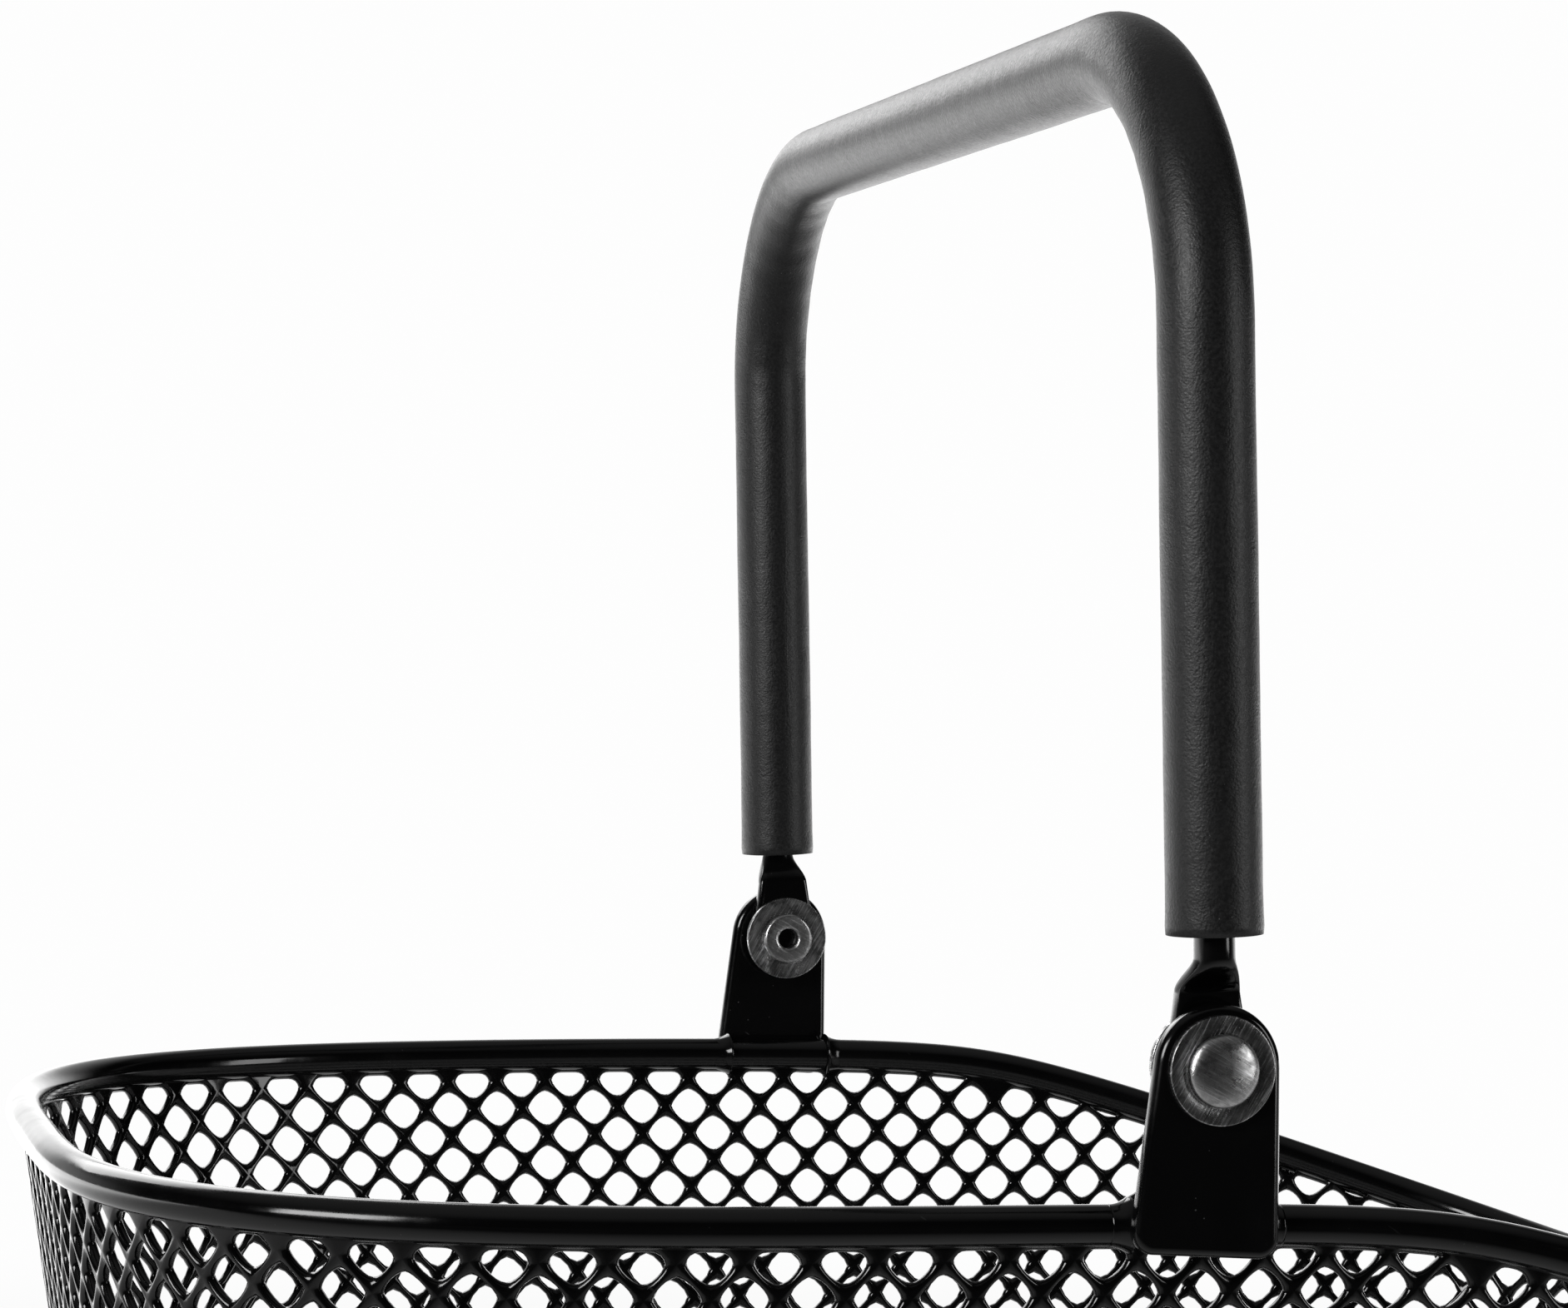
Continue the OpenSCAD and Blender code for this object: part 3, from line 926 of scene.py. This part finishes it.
def stage():
    """Pale floor that fades into the same white as the world, so that no horizon shows. To every ray but the
    camera's it glows, a painted light for the basket to mirror.
    """
    bm = bmesh.new()
    bmesh.ops.create_circle(bm, cap_ends=True, radius=12.0, segments=96)
    mesh = bpy.data.meshes.new("studio_floor")
    bm.to_mesh(mesh)
    bm.free()
    floor = bpy.data.objects.new("studio_floor", mesh)
    bpy.context.scene.collection.objects.link(floor)
    n = Nodes("studio_floor")
    mesh.materials.append(n.material)
    n.shader.inputs["Base Color"].default_value = (0.86, 0.86, 0.86, 1)
    n.shader.inputs["Roughness"].default_value = 0.7
    length = n.add("ShaderNodeVectorMath", operation="LENGTH")
    n.link(n.place, length.inputs[0])
    fade = n.ramp(length.outputs["Value"], 0.35, 1.3, 0.5, 1.0)
    seen = n.add("ShaderNodeMixShader")
    n.link(fade, seen.inputs[0])
    n.link(n.shader.outputs[0], seen.inputs[1])
    n.link(glow(n, WHITE), seen.inputs[2])
    # painted light: to every ray but the camera's the floor glows, a pale sheet under the basket, brighter
    # behind it, falling off to a dark room in front; the basket mirrors this glow
    split = n.add("ShaderNodeSeparateXYZ")
    n.link(n.place, split.inputs[0])
    front = n.ramp(split.outputs["Y"], -0.7, -0.05, 0.02, 0.5)
    back = n.ramp(split.outputs["Y"], 0.1, 1.3, 0.0, 2.2)
    bright = n.math("ADD", front, back)
    rays = n.add("ShaderNodeLightPath")
    both = n.add("ShaderNodeMixShader")
    n.link(rays.outputs["Is Camera Ray"], both.inputs[0])
    n.link(glow(n, bright), both.inputs[1])
    n.link(seen.outputs[0], both.inputs[2])
    n.link(both.outputs[0], n.tree.nodes["Material Output"].inputs["Surface"])


def glow(n, strength):
    """An emission node's output, of a fixed strength or of one that another node gives."""
    node = n.add("ShaderNodeEmission")
    if isinstance(strength, float):
        node.inputs["Strength"].default_value = strength
    else:
        n.link(strength, node.inputs["Strength"])
    return node.outputs[0]


def studio_world():
    """White to the camera. To everything else a soft studio: bright behind and above, dim in front."""
    world = bpy.data.worlds.new("studio")
    bpy.context.scene.world = world
    world.use_nodes = True
    tree = world.node_tree
    tree.nodes.clear()
    add, link = tree.nodes.new, tree.links.new
    where = add("ShaderNodeTexCoord")
    split = add("ShaderNodeSeparateXYZ")
    link(where.outputs["Generated"], split.inputs[0])

    def ramp(axis, low, high, a, b):
        node = add("ShaderNodeMapRange")
        node.interpolation_type = "SMOOTHSTEP"
        for name, value in (("From Min", low), ("From Max", high), ("To Min", a), ("To Max", b)):
            node.inputs[name].default_value = value
        link(split.outputs[axis], node.inputs["Value"])
        return node.outputs["Result"]

    def join(operation, a, b):
        node = add("ShaderNodeMath")
        node.operation = operation
        link(a, node.inputs[0])
        link(b, node.inputs[1])
        return node.outputs[0]

    behind = ramp("Y", 0.45, 0.97, 0.015, 2.6)
    leftward = ramp("X", -0.1, -0.36, 1.0, 0.25)
    low = ramp("Z", 0.12, 0.38, 1.0, 0.35)
    above = ramp("Z", 0.5, 0.98, 0.0, 0.22)
    band = join("MULTIPLY", join("MULTIPLY", behind, leftward), low)
    total = join("MAXIMUM", band, above)
    studio = add("ShaderNodeBackground")
    link(total, studio.inputs["Strength"])
    plain = add("ShaderNodeBackground")
    plain.inputs["Color"].default_value = (WHITE, WHITE, WHITE, 1)
    rays = add("ShaderNodeLightPath")
    mix = add("ShaderNodeMixShader")
    link(rays.outputs["Is Camera Ray"], mix.inputs[0])
    link(studio.outputs[0], mix.inputs[1])
    link(plain.outputs[0], mix.inputs[2])
    out = add("ShaderNodeOutputWorld")
    link(mix.outputs[0], out.inputs["Surface"])


def area_light(name, place, target, size, radiance):
    """A rectangular soft box of the given width and height, seen as this bright in a mirror."""
    data = bpy.data.lights.new(name, "AREA")
    data.shape = "RECTANGLE"
    data.size, data.size_y = size
    data.energy = radiance * size[0] * size[1] * math.pi
    light = bpy.data.objects.new(name, data)
    bpy.context.scene.collection.objects.link(light)
    light.location = place
    light.rotation_euler = (Vector(target) - Vector(place)).to_track_quat("-Z", "Y").to_euler()


def lights():
    """Three soft boxes: the two highlights along the legs, and the sheen on the top bar."""
    aim = (0, 0, 0.3)
    area_light("front_left", (-1.42, -0.88, 0.8), aim, (0.75, 0.55), 12.0)
    area_light("front_right", (1.5, -1.15, 0.5), aim, (0.45, 1.0), 4.2)
    area_light("back_left_top", (-0.5, 1.6, 1.2), aim, (1.2, 0.9), 3.5)


def camera():
    """The photograph's view: from the front left, level with the middle of the handle, with a long lens."""
    yaw, pitch, roll = 0.2552, 0.0097, -0.0178
    data = bpy.data.cameras.new("camera")
    data.sensor_width = 36.0
    data.lens = 100.0276
    cam = bpy.data.objects.new("camera", data)
    bpy.context.scene.collection.objects.link(cam)
    forward = Vector((math.sin(yaw) * math.cos(pitch), math.cos(yaw) * math.cos(pitch), -math.sin(pitch)))
    right = Vector((math.cos(yaw), -math.sin(yaw), 0))
    down = forward.cross(right)
    turned_right = math.cos(roll) * right + math.sin(roll) * down
    turned_down = -math.sin(roll) * right + math.cos(roll) * down
    basis = Matrix((turned_right, -turned_down, -forward)).transposed()
    cam.matrix_world = Matrix.Translation((-0.2855, -0.9313, 0.3272)) @ basis.to_4x4()
    data.clip_start = 0.01
    data.clip_end = 100
    bpy.context.scene.camera = cam


wall_mesh()
floor_mesh()
rim_hoop()
base_hoop()
floor_wires()
skids()
brackets()
weld_beads()
rivets()
handle_rod()
grip_sleeve()
stage()
studio_world()
lights()
camera()
bpy.context.scene.view_settings.view_transform = "Standard"
